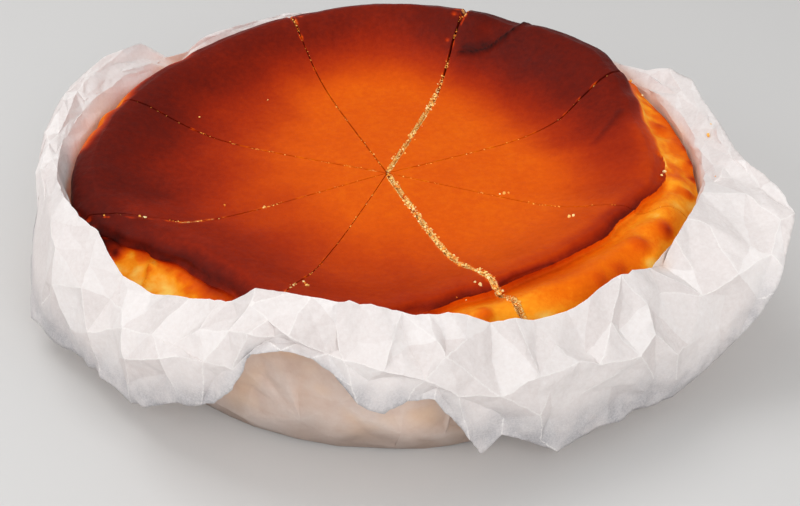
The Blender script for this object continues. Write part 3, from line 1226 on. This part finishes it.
def cake_finish():
    """Burnt caramel crust over soft yellow cheese, crumbly where the knife tore it."""
    cake = Finish("burnt cheesecake")
    brown = cake.attribute("browning")
    torn = cake.attribute("torn")
    mottle = cake.spread(cake.noise(2.4 * MM, 5.0, 0.6), 0.3, 0.7, -0.03, 0.03)
    specks = cake.spread(cake.noise(0.7 * MM, 2.0, 0.5), 0.66, 0.78, 0.0, 0.05)
    level = cake.math("ADD", cake.math("ADD", brown, mottle), specks, clamped=True)
    crust = cake.ramp(level, BAKED_TONES)
    grain = cake.noise(0.55 * MM, 3.0, 0.6)
    inside = cake.ramp(grain, INSIDE_TONES)
    broken = cake.math("MULTIPLY", cake.spread(grain, 0.35, 0.6), torn)
    share = cake.spread(broken, 0.15, 0.6)
    colour = cake.mix(share, crust, inside)
    cake.link(colour, cake.shader.inputs["Base Color"])
    rough = cake.spread(cake.noise(6.0 * MM, 3.0), 0.3, 0.7, 0.36, 0.5)
    rougher = cake.math("ADD", rough, cake.math("MULTIPLY", share, 0.35), clamped=True)
    cake.link(rougher, cake.shader.inputs["Roughness"])
    pores = cake.spread(cake.noise(1.1 * MM, 3.0, 0.6), 0.25, 0.42)
    soft = cake.bump(cake.noise(3.0 * MM, 6.0, 0.55), 0.25 * MM)
    fine = cake.bump(pores, 0.05 * MM, under=soft)
    crumbly = cake.bump(cake.math("MULTIPLY", grain, torn), 0.8 * MM, under=fine)
    cake.link(crumbly, cake.shader.inputs["Normal"])
    cake.shader.inputs["Specular IOR Level"].default_value = 0.035
    return cake.material


def crumb_finish():
    """Crumbs of cheese, from pale to toasted."""
    crumb = Finish("cheesecake crumbs")
    mottle = crumb.spread(crumb.noise(0.5 * MM), 0.3, 0.7, -0.2, 0.2)
    shade = crumb.math("ADD", crumb.attribute("shade"), mottle)
    crumb.link(crumb.ramp(shade, CRUMB_TONES), crumb.shader.inputs["Base Color"])
    crumb.shader.inputs["Roughness"].default_value = 0.65
    crumb.shader.inputs["Specular IOR Level"].default_value = 0.2
    return crumb.material


def parchment_finish():
    """White baking parchment: matt, fibrous, letting light through, warm where cheese shows behind it."""
    paper = Finish("white baking parchment")
    touching = paper.attribute("touching")
    hanging = paper.attribute("hanging")
    from_ridge = paper.attribute("from_ridge")
    cloud = paper.noise(13.0 * MM, 4.0, 0.6)
    fibre = paper.noise(1.4 * MM, 6.0, 0.7)
    speck = paper.noise(0.6 * MM, 4.0, 0.7)
    clean = paper.mix(paper.spread(fibre, 0.3, 0.7), tone(246, 241, 239), tone(253, 250, 249))
    thin = paper.mix(paper.spread(fibre, 0.3, 0.7), tone(229, 220, 217), tone(241, 234, 232))
    doubled = paper.mix(paper.math("MULTIPLY", paper.attribute("veiled"), 0.7), clean, thin)
    grey = paper.mix(paper.spread(speck, 0.36, 0.66), tone(188, 186, 189), tone(222, 219, 220))
    hung = paper.math("MULTIPLY", hanging, paper.spread(cloud, 0.35, 0.6, 0.4, 1.0))
    veiled = paper.mix(hung, doubled, grey)
    milky = paper.mix(paper.spread(cloud, 0.33, 0.67), tone(226, 188, 160), tone(244, 220, 201))
    yellowed = paper.spread(paper.noise(24.0 * MM, 2.0), 0.5, 0.68, 0.0, 0.8)
    glow = paper.mix(yellowed, milky, tone(252, 212, 164))
    warm = paper.mix(paper.attribute("low"), glow, tone(164, 136, 118))
    sheet = paper.mix(paper.math("MULTIPLY", touching, 0.85), veiled, warm)
    worn = paper.math("ADD", from_ridge, paper.spread(fibre, 0.35, 0.65, -0.15, 0.3))
    line = paper.math("MULTIPLY", paper.spread(worn, 0.45, 0.08), 0.8, clamped=True)
    colour = paper.mix(line, sheet, tone(255, 252, 250))
    paper.link(colour, paper.shader.inputs["Base Color"])
    paper.shader.inputs["Roughness"].default_value = 0.5
    paper.shader.inputs["Specular IOR Level"].default_value = 0.3
    normal = paper.bump(fibre, 0.04 * MM, under=paper.bump(paper.noise(6.0 * MM, 3.0), 0.6 * MM))
    paper.link(normal, paper.shader.inputs["Normal"])
    through = paper.add("ShaderNodeBsdfTranslucent")
    paper.link(colour, through.inputs["Color"])
    paper.link(normal, through.inputs["Normal"])
    both = paper.add("ShaderNodeMixShader")
    both.inputs[0].default_value = 0.34
    paper.link(paper.shader.outputs[0], both.inputs[1])
    paper.link(through.outputs[0], both.inputs[2])
    paper.link(both.outputs[0], paper.output.inputs["Surface"])
    return paper.material


# The studio.


def make_camera():
    lens = bpy.data.cameras.new("camera")
    lens.lens = CAMERA_LENS
    lens.sensor_width = 36.0
    camera = bpy.data.objects.new("camera", lens)
    bpy.context.scene.collection.objects.link(camera)
    turn = (CAMERA_AIM - CAMERA_PLACE).to_track_quat("-Z", "Y").to_matrix().to_4x4()
    camera.matrix_world = Matrix.Translation(CAMERA_PLACE) @ turn @ Matrix.Rotation(CAMERA_ROLL, 4, "Z")
    bpy.context.scene.camera = camera


def make_floor():
    plain = Finish("plain pale floor")
    plain.shader.inputs["Base Color"].default_value = tone(203, 202, 201)
    plain.shader.inputs["Roughness"].default_value = 0.7
    bm = bmesh.new()
    bmesh.ops.create_grid(bm, x_segments=1, y_segments=1, size=3.0)
    floor = finished("floor", bm, plain.material, 30.0)


def make_light(name, place, size, power):
    lamp = bpy.data.lights.new(name, "AREA")
    lamp.size = size
    lamp.energy = power
    light = bpy.data.objects.new(name, lamp)
    light.location = place
    light.rotation_euler = (Vector((0.0, 0.0, 0.03)) - Vector(place)).to_track_quat("-Z", "Y").to_euler()
    bpy.context.scene.collection.objects.link(light)


def make_studio():
    make_camera()
    make_floor()
    world = bpy.data.worlds.new("soft white room")
    world.use_nodes = True
    world.node_tree.nodes["Background"].inputs["Color"].default_value = (1.0, 1.0, 1.0, 1.0)
    world.node_tree.nodes["Background"].inputs["Strength"].default_value = 0.55
    bpy.context.scene.world = world
    make_light("overhead softbox", (-0.35, 0.25, 1.0), 0.6, 3.5)
    make_light("front fill", (0.3, -1.05, 0.75), 0.9, 8.0)
    make_light("left fill", (-1.05, -0.35, 0.6), 0.9, 4.0)
    bpy.context.scene.view_settings.view_transform = "Standard"


def main():
    make_studio()
    baked = cake_finish()
    for index, left in enumerate(CUTS):
        right = CUTS[(index + 1) % len(CUTS)]
        wedge = make_slice(f"cake_slice_{index + 1}", left, right, baked)
        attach(wedge, "root")
        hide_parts(f"slice_{index + 1}")
    sheet = make_parchment(parchment_finish())
    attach(sheet, "root")
    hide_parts("parchment_paper")
    crumbs = make_crumbs(crumb_finish(), sheet)
    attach(crumbs, "root")


main()
